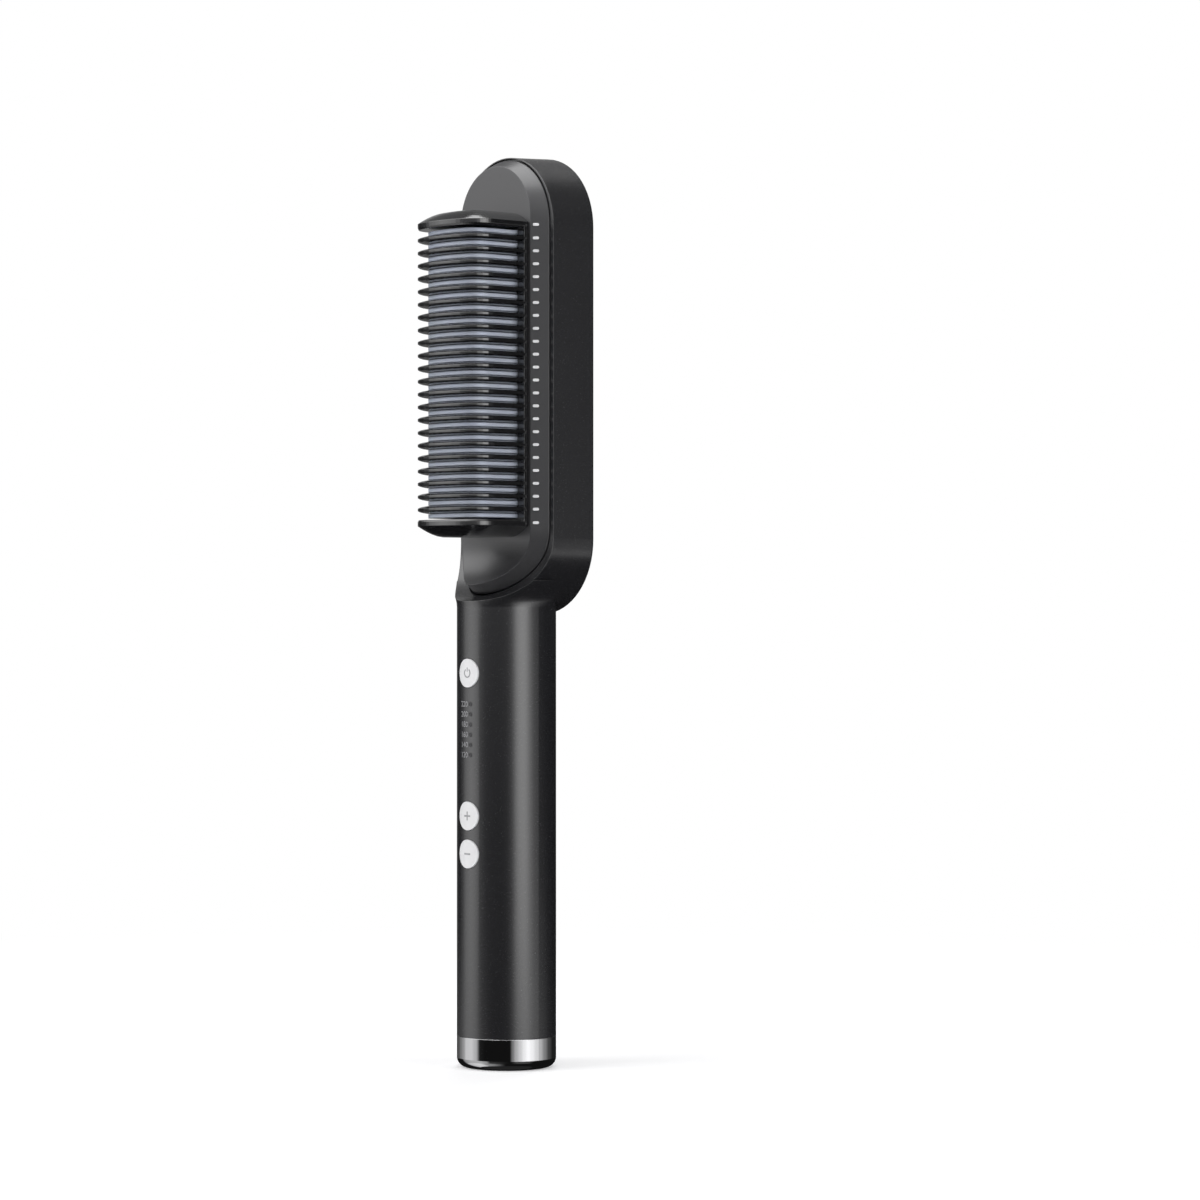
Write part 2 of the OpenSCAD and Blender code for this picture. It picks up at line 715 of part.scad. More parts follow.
module heater_bracket() color("#c4c6ca") difference() {
    union() {
        box_between([-plate_half_w, mica_back_y, comb_mid_z - plate_half],
            [plate_half_w, bracket_back_y, comb_mid_z + plate_half]);
        box_between([-ear_w, mica_back_y, comb_mid_z - ear_z - ear_w],
            [ear_w, bracket_back_y, comb_mid_z + ear_z + ear_w]);
        for (s = [-1, 1]) translate([s*(pillar_x - pillar_r - rib_h), 0, comb_mid_z])
            box_between([-rib_w/2, mica_back_y, -stack_half], [rib_w/2, bracket_back_y + rib_h, stack_half]);
    }
    at_pillars() bar_y(screw_r + hole_gap, 0, head_depth);
    at_ears() bar_y(screw_r + hole_gap, 0, head_depth);
}

module bracket_screws() color(steel) {
    at_pillars() screw_y(plate_back_y - 1, bracket_back_y, screw_r + 0.9, screw_head_h);
    at_ears() screw_y(ear_tip_y, bracket_back_y, screw_r + 0.9, screw_head_h);
}

module thermistor() color("#c25a2a") translate([side_x, 0, comb_mid_z])
    box_between([-sensor_w/2, plate_back_y, -sensor_len/2],
        [sensor_w/2, plate_back_y + sensor_t, sensor_len/2]);

module thermal_fuse() color("#e9e4d4")
    translate([-side_x, plate_back_y + fuse_r, comb_mid_z - fuse_len/2]) cylinder(r = fuse_r, h = fuse_len);

// Leads: eight-sided tubes swept along a route in a plane of constant X
lead_turn = [for (i = [0:lead_turn_steps])
    let (t = i/lead_turn_steps, turn = t*t*(3 - 2*t))
    [lead_low_y + (strip_mid_y - lead_low_y)*turn,
        lead_turn_low_z + (lead_turn_high_z - lead_turn_low_z)*t]];
lead_route = concat([[lead_low_y, lead_low_z]], lead_turn, [[strip_mid_y, lead_high_z]]);
function lead_dir(i) = let (n = len(lead_route), a = lead_route[max(i - 1, 0)],
    b = lead_route[min(i + 1, n - 1)], d = b - a) d/norm(d);
function lead_points(x) = [
    for (i = [0:len(lead_route) - 1], k = [0:7])
        let (d = lead_dir(i), c = lead_route[i], u = lead_r*cos(45*k), v = lead_r*sin(45*k))
        [x + u, c[0] - v*d[1], c[1] + v*d[0]]
];

module heater_lead(x) {
    n = len(lead_route);
    sides = [for (i = [0:n - 2], k = [0:7]) let (m = (k + 1) % 8)
        each [[8*i + k, 8*i + m, 8*(i + 1) + m], [8*i + k, 8*(i + 1) + m, 8*(i + 1) + k]]];
    polyhedron(lead_points(x), concat([[for (k = [7:-1:0]) k]], sides,
        [[for (k = [0:7]) 8*(n - 1) + k]]));
}

module heater_leads() color("#b03028") {
    heater_lead(lead_x);
    heater_lead(-lead_x);
}

// A button cap whose face follows the handle, with a flange that keeps it in its bore
module button_cap(z) color("#f2f2f3") translate([0, 0, z]) {
    intersection() {
        bar_y(button_r, -2*handle_r, flange_rest_y + button_flange_t/2);
        translate([0, 0, -button_d]) cylinder(r = handle_r + button_proud, h = 2*button_d);
    }
    bar_y(button_flange_r, flange_rest_y, flange_rest_y + button_flange_t);
    bar_y(button_foot_r, flange_rest_y, button_foot_y);
}

module power_button() button_cap(power_z);
module plus_button() button_cap(plus_z);
module minus_button() button_cap(minus_z);

module indicator_lens() color("#c8d4dc") {
    translate([lamp_x, 0, 0]) box_between([-lens_half_w, lens_front_y, lamp_low_z - lens_end],
        [lens_half_w, lamp_top_y - fit_gap, lamp_high_z + lens_end]);
    intersection() {
        at_lamps() bar_y(lamp_r, -2*handle_r, lens_front_y + 0.5);
        cylinder(r = handle_r, h = total_h);
    }
}

module indicator_lamps() color("#d9e36b")
    at_lamps() box_between([-lamp_w/2, lamp_top_y, -lamp_len/2], [lamp_w/2, board_front_y, lamp_len/2]);

module tact_switches() color("#3a3a3c") at_buttons() {
    box_between([-switch_w/2, board_front_y - switch_h, -switch_w/2],
        [switch_w/2, board_front_y, switch_w/2]);
    bar_y(plunger_r, plunger_y, board_front_y - switch_h/2);
}

module control_board() color("#1f6b3a")
    box_between([-board_w/2, board_front_y, board_low_z], [board_w/2, board_back_y, board_high_z]);

module power_relay() color("#26466e")
    box_between([-relay_w/2, board_front_y - relay_h, relay_low_z],
        [relay_w/2, board_front_y, relay_low_z + relay_len]);

module filter_capacitor() color("#b8862f")
    box_between([-capacitor_w/2, board_front_y - capacitor_h, capacitor_low_z],
        [capacitor_w/2, board_front_y, capacitor_low_z + capacitor_len]);

module lead_terminals() color(steel) for (s = [-1, 1])
    translate([s*lead_x, 0, lead_low_z - terminal_h])
        box_between([-terminal_w/2, lead_low_y - lead_r, 0], [terminal_w/2, board_front_y, terminal_h]);

module board_carrier() color("#d0d0d2") difference() {
    union() {
        translate([0, 0, carrier_low_z]) linear_extrude(carrier_high_z - carrier_low_z) {
            intersection() {
                difference() {
                    circle(carrier_r);
                    circle(carrier_r - carrier_t);
                }
                translate([-handle_r, board_back_y]) square([handle_d, handle_d]);
            }
            intersection() {
                circle(carrier_r - carrier_t/2);
                translate([-handle_r, board_back_y]) square([handle_d, carrier_t]);
            }
        }
        translate([0, 0, carrier_low_z]) linear_extrude(carrier_t) intersection() {
            circle(carrier_r - carrier_t/2);
            translate([-handle_r, board_back_y]) square([handle_d, handle_d]);
        }
        for (s = [-1, 1]) translate([s*post_x, post_y, cap_floor_z])
            cylinder(r = post_r, h = carrier_low_z - cap_floor_z + carrier_t/2);
    }
    cylinder(r = cord_hole_r + 2*sit_gap, h = carrier_low_z + 2*carrier_t);
    for (s = [-1, 1]) {
        translate([s*post_x, post_y, 0])
            cylinder(r = screw_r + pilot_gap, h = cap_screw_low_z + cap_screw_len + 1);
    }
    at_clamp_screws() bar_y(screw_r + pilot_gap, board_back_y - 1, shelf_back_y + 1);
}

module carrier_screws() color(steel) for (s = [-1, 1]) translate([s*post_x, post_y, 0]) {
    translate([0, 0, cap_screw_low_z]) {
        cylinder(r = cap_head_r, h = screw_head_h);
        cylinder(r = screw_r, h = cap_screw_len);
    }
}

module end_ring() color("#d6d8dc") rotate_extrude() intersection() {
    union() {
        translate([ring_lip_r, 0]) square([handle_r - ring_lip_r, lip_t]);
        translate([handle_r - ring_wall, 0]) square([ring_wall, ring_h]);
    }
    union() {
        square([handle_r - ring_r, ring_h]);
        translate([0, ring_r]) square([handle_r, ring_h - ring_r]);
        translate([handle_r - ring_r, ring_r]) circle(ring_r);
    }
}

module end_cap() color("#222224") difference() {
    translate([0, 0, lip_t]) cylinder(r = cap_r, h = cap_top_z - lip_t);
    translate([0, 0, cap_floor_z]) cylinder(r = cap_r - wall, h = cap_top_z);
    cylinder(r = bush_r + bush_gap, h = cap_top_z);
    for (s = [-1, 1]) translate([s*post_x, post_y, 0]) {
        cylinder(r = screw_r + hole_gap, h = cap_top_z);
        cylinder(r = cap_head_r + hole_gap, h = cap_screw_low_z + screw_head_h);
    }
}

module cord_bush() color("#333336") rotate_extrude() {
    translate([cord_hole_r, 0]) square([bush_wall, bush_top_z]);
    translate([cord_hole_r, 0]) square([bush_lip_r - cord_hole_r, bush_lip_t]);
}

module bush_clip() color("#b9bcc2") translate([0, 0, clip_low_z]) difference() {
    cylinder(r = clip_r, h = clip_t);
    translate([0, 0, -1]) cylinder(r = bush_r, h = clip_t + 2);
}

// Saddle that grips the cord against the back of the carrier's shelf
module saddle_outline() difference() {
    cord_y = shelf_back_y + cord_hole_r;
    union() {
        translate([-clamp_x - clamp_end, shelf_back_y]) square([2*(clamp_x + clamp_end), clamp_foot_t]);
        translate([0, cord_y]) circle(cord_hole_r + clamp_foot_t);
    }
    translate([0, cord_y]) circle(cord_hole_r);
    translate([-cord_hole_r, shelf_back_y - cord_hole_r]) square(2*cord_hole_r);
    translate([-handle_r, shelf_back_y - handle_r]) square([handle_d, handle_r]);
}

module at_clamp_screws() {
    for (s = [-1, 1]) translate([s*clamp_x, 0, clamp_low_z + clamp_len/2]) children();
}

module cord_clamp() color("#2f2f32") difference() {
    translate([0, 0, clamp_low_z]) linear_extrude(clamp_len) saddle_outline();
    at_clamp_screws() bar_y(screw_r + hole_gap, shelf_back_y - 1, shelf_back_y + clamp_foot_t + 1);
}

module clamp_screws() color(steel) at_clamp_screws()
    screw_y(board_back_y + fit_gap, shelf_back_y + clamp_foot_t, clamp_head_r, screw_head_h);

main_housing();
front_cover();
comb_guard();
heating_plate();
guard_clips();
accent_ring();
back_panel();
cover_screws();
insulation_film();
heating_tablets();
contact_strip();
mica_board();
heater_bracket();
bracket_screws();
thermistor();
thermal_fuse();
heater_leads();
power_button();
plus_button();
minus_button();
indicator_lens();
indicator_lamps();
tact_switches();
control_board();
power_relay();
filter_capacitor();
lead_terminals();
board_carrier();
carrier_screws();
end_ring();
end_cap();
cord_bush();
bush_clip();
cord_clamp();
clamp_screws();
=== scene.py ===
# Hair straightening brush: finishes, printed signs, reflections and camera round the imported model
import math
import bpy
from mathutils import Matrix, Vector


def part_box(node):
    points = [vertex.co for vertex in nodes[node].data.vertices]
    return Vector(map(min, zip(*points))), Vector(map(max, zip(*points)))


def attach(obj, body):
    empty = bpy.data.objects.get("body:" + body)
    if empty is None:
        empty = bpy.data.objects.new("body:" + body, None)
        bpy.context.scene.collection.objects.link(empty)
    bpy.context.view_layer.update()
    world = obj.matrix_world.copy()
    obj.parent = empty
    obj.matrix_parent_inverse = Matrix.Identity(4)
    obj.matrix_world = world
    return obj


print("loading the frame")
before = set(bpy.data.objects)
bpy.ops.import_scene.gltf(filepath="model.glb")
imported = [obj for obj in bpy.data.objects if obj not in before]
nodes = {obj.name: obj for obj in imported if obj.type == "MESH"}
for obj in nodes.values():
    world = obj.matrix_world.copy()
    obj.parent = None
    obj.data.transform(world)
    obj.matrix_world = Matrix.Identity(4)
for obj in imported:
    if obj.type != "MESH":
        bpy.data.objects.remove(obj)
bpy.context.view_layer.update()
bpy.ops.object.select_all(action="DESELECT")


class Wire:
    # a socket in a node tree; sums and products of wires add Math nodes
    def __init__(self, tree, socket=None):
        self.tree = tree
        self.socket = socket

    def node(self, kind, settings=None, values=None, output=0):
        made = self.tree.nodes.new(kind)
        for name, value in (settings or {}).items():
            if name == "stops":
                elements = made.color_ramp.elements
                while len(elements) < len(value):
                    elements.new(1)
                for element, (place, colour) in zip(elements, value):
                    element.position = place
                    element.color = (*colour, 1)
            elif name == "easing":
                made.color_ramp.interpolation = value
            else:
                setattr(made, name, value)
        for name, value in (values or {}).items():
            socket = made.inputs[name]
            if isinstance(value, Wire):
                self.tree.links.new(value.socket, socket)
            elif socket.type == "RGBA":
                socket.default_value = (*value, 1)
            else:
                socket.default_value = value
        return Wire(self.tree, made.outputs[output] if made.outputs else None)

    def other(self, name):
        # another output of the same node
        return Wire(self.tree, self.socket.node.outputs[name])

    def maths(self, operation, *values):
        return self.node("ShaderNodeMath", {"operation": operation}, dict(enumerate(values)))

    def __add__(self, other):
        return self.maths("ADD", self, other)

    def __radd__(self, other):
        return self.maths("ADD", other, self)

    def __sub__(self, other):
        return self.maths("SUBTRACT", self, other)

    def __rsub__(self, other):
        return self.maths("SUBTRACT", other, self)

    def __mul__(self, other):
        return self.maths("MULTIPLY", self, other)

    def __rmul__(self, other):
        return self.maths("MULTIPLY", other, self)

    def __truediv__(self, other):
        return self.maths("DIVIDE", self, other)

    def __rtruediv__(self, other):
        return self.maths("DIVIDE", other, self)


def emptySheet(owner):
    # the emptied node tree of a world or a material
    owner.use_nodes = True
    owner.node_tree.nodes.clear()
    return Wire(owner.node_tree)


def objectPlace(sheet):
    return sheet.node("ShaderNodeTexCoord", output="Object")


def partOf(sheet, vector, axis):
    return sheet.node("ShaderNodeSeparateXYZ", {}, {"Vector": vector}, axis)


def smoothShare(sheet, value, start, end):
    # 0 up to start, 1 from end on
    return sheet.node("ShaderNodeMapRange", {"interpolation_type": "SMOOTHSTEP"},
                      {"Value": value, "From Min": start, "From Max": end})


def standAt(azimuth, distance, height):
    # a place round the brush, with azimuth 0 before the comb and 90 degrees at +X
    angle = math.radians(azimuth)
    return Vector((distance*math.sin(angle), -distance*math.cos(angle), height))


# Camera: the photograph's viewing angle on the brush that shows its comb
cameraView = {
    "azimuth": 50,
    "distance": 1.15,       # metres from the handle's axis
    "height": 0.1375,       # half the brush's height
    "frameWidth": 0.3626,   # width of the picture at the brush, metres
    "axisPixel": 506.5,     # where the handle's axis stands in the 1200 pixel frame
    "middlePixel": 611,     # where half the brush's height stands
    "pixels": 1200,
}


def makeCamera(view):
    bpy.ops.object.camera_add(location=standAt(view["azimuth"], view["distance"], view["height"]),
                              rotation=(math.pi/2, 0, math.radians(view["azimuth"])))
    camera = bpy.context.object
    camera.name = "camera"
    camera.data.lens = camera.data.sensor_width*view["distance"]/view["frameWidth"]
    camera.data.shift_x = 0.5 - view["axisPixel"]/view["pixels"]
    camera.data.shift_y = view["middlePixel"]/view["pixels"] - 0.5
    bpy.context.scene.camera = camera


print("camera and lights")
makeCamera(cameraView)

# Diffuse light: a pale room and three soft lamps that show in no reflection
roomLight = {"level": 0.5, "white": (1, 1, 1)}
softLamps = {
    "upperLeft": {"azimuth": -20, "distance": 1.2, "height": 1.1, "size": 0.9, "watts": 9},
    "right": {"azimuth": 110, "distance": 1.2, "height": 0.7, "size": 0.9, "watts": 5},
    "behind": {"azimuth": 215, "distance": 1.2, "height": 0.8, "size": 0.9, "watts": 6},
}


def shownRays(sheet):
    # 1 where the camera, a mirror or clear plastic looks, 0 for light on its way to a surface
    seen = sheet.node("ShaderNodeLightPath", output="Is Camera Ray")
    looks = seen + seen.other("Is Glossy Ray") + seen.other("Is Transmission Ray")
    return sheet.maths("MINIMUM", looks, 1)


def makeRoom(values):
    world = bpy.data.worlds.new("room")
    bpy.context.scene.world = world
    sheet = emptySheet(world)
    shown = shownRays(sheet)
    strength = values["level"] + shown*(1 - values["level"])
    light = sheet.node("ShaderNodeBackground", {}, {"Color": values["white"], "Strength": strength})
    sheet.node("ShaderNodeOutputWorld", {}, {"Surface": light})


def makeLamp(name, values):
    place = standAt(values["azimuth"], values["distance"], values["height"])
    target = Vector((0, 0, cameraView["height"]))
    bpy.ops.object.light_add(type="AREA", location=place)
    lamp = bpy.context.object
    lamp.name = name
    lamp.data.shape = "SQUARE"
    lamp.data.size = values["size"]
    lamp.data.energy = values["watts"]
    lamp.rotation_euler = (place - target).to_track_quat("Z", "Y").to_euler()
    lamp.visible_glossy = False


makeRoom(roomLight)
for lampName, lampValues in softLamps.items():
    makeLamp(lampName, lampValues)

# What glossy surfaces mirror: a round wall of soft boxes and dark flags, seen by nothing else.
# The upper two bands show in faces that tilt up, the next three in the head's upright faces, in the
# handle and in the end ring, and the last two in faces that tilt down, such as the scoop under the head.
# low and high are metres from the floor, and levels go by azimuth.
mirrorRound = {"radius": 0.9, "sides": 96}
mirrorBands = {
    "ceilingBand": {"low": 0.62, "high": 1.7, "levels": (
        (0, 2.2), (40, 1.0), (70, 0.5), (90, 0.8), (120, 0.1), (180, 0.1), (200, 0.3), (225, 0.3),
        (245, 0.2), (266, 0.3), (284, 1.7), (310, 2.0), (335, 2.2), (360, 2.2))},
    "shelfBand": {"low": 0.46, "high": 0.62, "levels": (
        (0, 2.2), (40, 0.3), (62, 0.2), (78, 1.6), (93, 1.6), (106, 0.5), (116, 0.1), (133, 0.02),
        (180, 0.05), (215, 0.4), (242, 0.4), (266, 0.2), (284, 1.5), (310, 2.0), (335, 2.4), (360, 2.2))},
    "ridgeBand": {"low": 0.16, "high": 0.46, "levels": (
        (0, 0.35), (20, 0.3), (50, 0.35), (62, 0.6), (78, 2.3), (93, 2.4), (106, 0.7), (116, 0.1),
        (133, 0.02), (150, 0.02), (200, 0.1), (215, 0.45), (242, 0.5), (256, 0.2), (272, 0.05),
        (289, 0.12), (304, 0.9), (322, 1.35), (337, 1.15), (352, 0.4), (360, 0.35))},
    "middleBand": {"low": -0.062, "high": 0.16, "levels": (
        (0, 0.03), (20, 0.02), (50, 0.02), (62, 0.2), (78, 2.3), (93, 2.4), (108, 1.0), (120, 0.3),
        (133, 0.06), (150, 0.01), (205, 0.01), (228, 0.05), (243, 0.25), (256, 0.04), (272, 0.01),
        (289, 0.12), (304, 0.9), (322, 1.35), (337, 1.15), (352, 0.1), (360, 0.03))},
    "ringBand": {"low": -0.145, "high": -0.062, "levels": (
        (0, 0.01), (58, 0.01), (64, 0.3), (72, 0.7), (82, 1.05), (91, 1.45), (101, 1.75), (112, 1.55),
        (123, 1.18), (135, 0.78), (149, 0.37), (165, 0.1), (185, 0.02), (222, 0.02), (240, 0.06),
        (265, 0.12), (280, 0.3), (292, 0.5), (304, 0.95), (320, 1.0), (334, 0.75), (346, 0.02), (360, 0.01))},
    "scoopBand": {"low": -0.5, "high": -0.145, "levels": (
        (0, 0.5), (12, 0.05), (60, 0.01), (80, 0.1), (100, 0.1), (120, 0.01), (285, 0.01), (298, 0.5),
        (320, 0.7), (345, 0.7), (360, 0.5))},
    "floorBand": {"low": -1.4, "high": -0.5, "levels": (
        (0, 0.4), (50, 0.01), (285, 0.01), (300, 0.9), (335, 1.1), (360, 0.4))},
}
# What closes the wall: a soft box over the brush and a dark sheet below it
mirrorLids = {"mirrorCeiling": {"height": 1.7, "level": 3.2}, "mirrorGround": {"height": -1.4, "level": 0.03}}


def makeMirrored(name):
    # dresses the object just added, and returns the empty node tree for its light
    piece = bpy.context.object
    piece.name = name
    bpy.ops.object.transform_apply(location=True, rotation=True, scale=True)
    piece.visible_camera = False
    piece.visible_diffuse = False
    piece.visible_transmission = False
    piece.visible_volume_scatter = False
    piece.visible_shadow = False
    material = bpy.data.materials.new(name + "Light")
    piece.data.materials.append(material)
    return emptySheet(material)


def makeMirrorBand(name, values):
    bpy.ops.mesh.primitive_cylinder_add(
        vertices=mirrorRound["sides"], radius=mirrorRound["radius"], depth=values["high"] - values["low"],
        end_fill_type="NOTHING", location=(0, 0, (values["high"] + values["low"])/2))
    sheet = makeMirrored(name)
    east = partOf(sheet, objectPlace(sheet), "X")
    turn = sheet.maths("ARCTAN2", east, east.other("Y")*-1)/(2*math.pi)
    share = sheet.maths("FRACT", turn + 1)
    topLevel = max(level for angle, level in values["levels"])
    stops = [(angle/360, (level/topLevel,)*3) for angle, level in values["levels"]]
    boxes = sheet.node("ShaderNodeValToRGB", {"easing": "EASE", "stops": stops}, {"Fac": share})
    glow = sheet.node("ShaderNodeEmission", {}, {"Color": boxes, "Strength": topLevel})
    sheet.node("ShaderNodeOutputMaterial", {}, {"Surface": glow})


def makeMirrorLid(name, values):
    bpy.ops.mesh.primitive_circle_add(vertices=mirrorRound["sides"], radius=mirrorRound["radius"],
                                      fill_type="NGON", location=(0, 0, values["height"]))
    sheet = makeMirrored(name)
    glow = sheet.node("ShaderNodeEmission", {}, {"Color": roomLight["white"], "Strength": values["level"]})
    sheet.node("ShaderNodeOutputMaterial", {}, {"Surface": glow})


print("mirrored wall and floor")
for bandName, bandValues in mirrorBands.items():
    makeMirrorBand(bandName, bandValues)
for lidName, lidValues in mirrorLids.items():
    makeMirrorLid(lidName, lidValues)

# Floor: pale, keeps the shadow near the brush and fades into the white room
floorValues = {
    "size": 6,
    "colour": (0.86, 0.86, 0.87),
    "fadeFrom": 0.12,       # from here the floor grows whiter, metres from the axis
    "fadeTo": 0.5,          # from here on it is as white as the room
    "lift": 0.3,            # light of its own, where it is looked at
}


def makeFloor(values):
    bpy.ops.mesh.primitive_plane_add(size=values["size"], location=(0, 0, 0))
    floor = bpy.context.object
    floor.name = "floor"
    floor.visible_glossy = False
    material = bpy.data.materials.new("paleFloor")
    sheet = emptySheet(material)
    shown = shownRays(sheet)
    reach = sheet.node("ShaderNodeVectorMath", {"operation": "LENGTH"}, {0: objectPlace(sheet)}, "Value")
    fade = smoothShare(sheet, reach, values["fadeFrom"], values["fadeTo"])
    paint = sheet.node("ShaderNodeBsdfDiffuse", {}, {"Color": values["colour"]})
    lift = sheet.node("ShaderNodeEmission", {}, {"Strength": shown*values["lift"]})
    lit = sheet.node("ShaderNodeAddShader", {}, {0: paint, 1: lift})
    white = sheet.node("ShaderNodeEmission", {}, {"Color": roomLight["white"]})
    mixed = sheet.node("ShaderNodeMixShader", {}, {"Fac": fade*shown, 1: lit, 2: white})
    sheet.node("ShaderNodeOutputMaterial", {}, {"Surface": mixed})
    floor.data.materials.append(material)


makeFloor(floorValues)


def makeMaterial(name, paint, values):
    material = bpy.data.materials.new(name)
    sheet = emptySheet(material)
    shader = sheet.node("ShaderNodeBsdfPrincipled", {}, paint(sheet, values))
    sheet.node("ShaderNodeOutputMaterial", {}, {"Surface": shader})
    return material


def blendColours(sheet, share, first, second):
    return sheet.node("ShaderNodeMix", {"data_type": "RGBA"}, {0: share, 6: first, 7: second}, 2)


def noiseAt(sheet, place, scale, detail):
    return sheet.node("ShaderNodeTexNoise", {}, {"Vector": place, "Scale": scale, "Detail": detail})


def bumpFrom(sheet, values, height):
    sockets = {"Strength": values["depth"], "Distance": values["relief"], "Height": height}
    if "edge" in values:    # edges softened by this radius
        sockets["Normal"] = sheet.node("ShaderNodeBevel", {"samples": values["edgeSamples"]},
                                       {"Radius": values["edge"]})
    return sheet.node("ShaderNodeBump", {}, sockets)


# Moulded plastic: fine spark-eroded grain, faint clouding and softened edges
plainPlastic = {
    "clouds": 60, "cloudDetail": 2.0, "grain": 3500, "grainDetail": 1.0, "depth": 0.08, "relief": 0.00002,
    "edge": 0.0002, "edgeSamples": 6, "roughSpread": 0.06, "spread": 1.25, "gloss": 1.5,
}


def mouldedPlastic(sheet, own):
    values = {**plainPlastic, **own}
    place = objectPlace(sheet)
    cloud = noiseAt(sheet, place, values["clouds"], values["cloudDetail"])
    grain = noiseAt(sheet, place, values["grain"], values["grainDetail"])
    lighter = tuple(min(1, part*values["spread"]) for part in values["colour"])
    return {
        "Base Color": blendColours(sheet, cloud, values["colour"], lighter),
        "Roughness": values["rough"] - values["roughSpread"]/2 + grain*values["roughSpread"],
        "Normal": bumpFrom(sheet, values, grain),
        "IOR": values["gloss"],
    }


# The back panel's crown, level round the centres of its two rounded ends
def crownedPlastic(sheet, values):
    sockets = mouldedPlastic(sheet, values)
    place = objectPlace(sheet)
    reaches = [sheet.node("ShaderNodeVectorMath", {"operation": "DISTANCE"}, {0: place, 1: centre}, "Value")
               for centre in values["centres"]]
    nearest = sheet.maths("MINIMUM", *reaches)
    level = 1 - smoothShare(sheet, nearest, values["levelTo"], values["curvedFrom"])
    sockets["Normal"] = sheet.node("ShaderNodeMix", {"data_type": "VECTOR"}, {
        0: level, 4: sockets["Normal"], 5: values["levelNormal"]}, 1)
    return sockets


# Brushed or plated metal: streaks along one axis, faint clouding and softened edges
plainMetal = {
    "clouds": 80, "cloudDetail": 2.0, "streaks": 4000, "streakDetail": 3.0, "stretch": (1, 1, 0.05),
    "depth": 0.05, "relief": 0.00002, "edge": 0.0002, "edgeSamples": 6, "roughSpread": 0.08, "metallic": 1.0,
}


def workedMetal(sheet, own):
    values = {**plainMetal, **own}
    place = objectPlace(sheet)
    drawn = sheet.node("ShaderNodeMapping", {}, {"Vector": place, "Scale": values["stretch"]})
    streaks = noiseAt(sheet, drawn, values["streaks"], values["streakDetail"])
    cloud = noiseAt(sheet, place, values["clouds"], values["cloudDetail"])
    return {
        "Base Color": blendColours(sheet, cloud, values["colour"], values["second"]),
        "Roughness": values["rough"] + streaks*values["roughSpread"],
        "Metallic": values["metallic"],
        "Normal": bumpFrom(sheet, values, streaks),
    }


# The back's ring: the same metal, with painted shade: its colour deepens towards its two round ends, standing
# in for the darker surroundings those ends mirror
def endShadedMetal(sheet, values):
    sockets = workedMetal(sheet, values)
    height = partOf(sheet, objectPlace(sheet), "Z")
    reach = sheet.maths("ABSOLUTE", height - values["middle"])
    share = smoothShare(sheet, reach, values["deepFrom"], values["deepTo"])
    sockets["Base Color"] = blendColours(sheet, share, sockets["Base Color"], values["deep"])
    return sockets


# A surface whose colour, gloss and relief follow one pattern
def patterned(sheet, values, pattern):
    return {
        "Base Color": blendColours(sheet, pattern, values["colour"], values["second"]),
        "Roughness": values["rough"] + pattern*values["roughSpread"],
        "Normal": bumpFrom(sheet, values, pattern),
    }


# Sintered ceramic: speckled and matt
def speckledCeramic(sheet, values):
    sockets = {"Vector": objectPlace(sheet), "Scale": values["specks"]}
    return patterned(sheet, values, sheet.node("ShaderNodeTexVoronoi", {}, sockets, "Distance"))


# Mica: overlapping glittering flakes
def pressedMica(sheet, values):
    sockets = {"Vector": objectPlace(sheet), "Scale": values["flakes"]}
    flakes = sheet.node("ShaderNodeTexVoronoi", {}, sockets, "Color")
    return patterned(sheet, values, partOf(sheet, flakes, "X"))


# Circuit board: solder mask over copper tracks
def solderMask(sheet, values):
    turned = sheet.node("ShaderNodeMapping", {}, {
        "Vector": objectPlace(sheet), "Rotation": (math.pi/2, 0, 0)})
    tracks = sheet.node("ShaderNodeTexBrick", {"offset": values["shift"]}, {
        "Vector": turned, "Scale": values["tracks"], "Mortar Size": values["trackWidth"],
        "Color1": values["colour"], "Color2": values["colour"], "Mortar": values["second"]}, "Color")
    raised = partOf(sheet, tracks, "Y")
    return {
        "Base Color": tracks,
        "Roughness": values["rough"] + raised*values["roughSpread"],
        "Normal": bumpFrom(sheet, values, raised),
    }


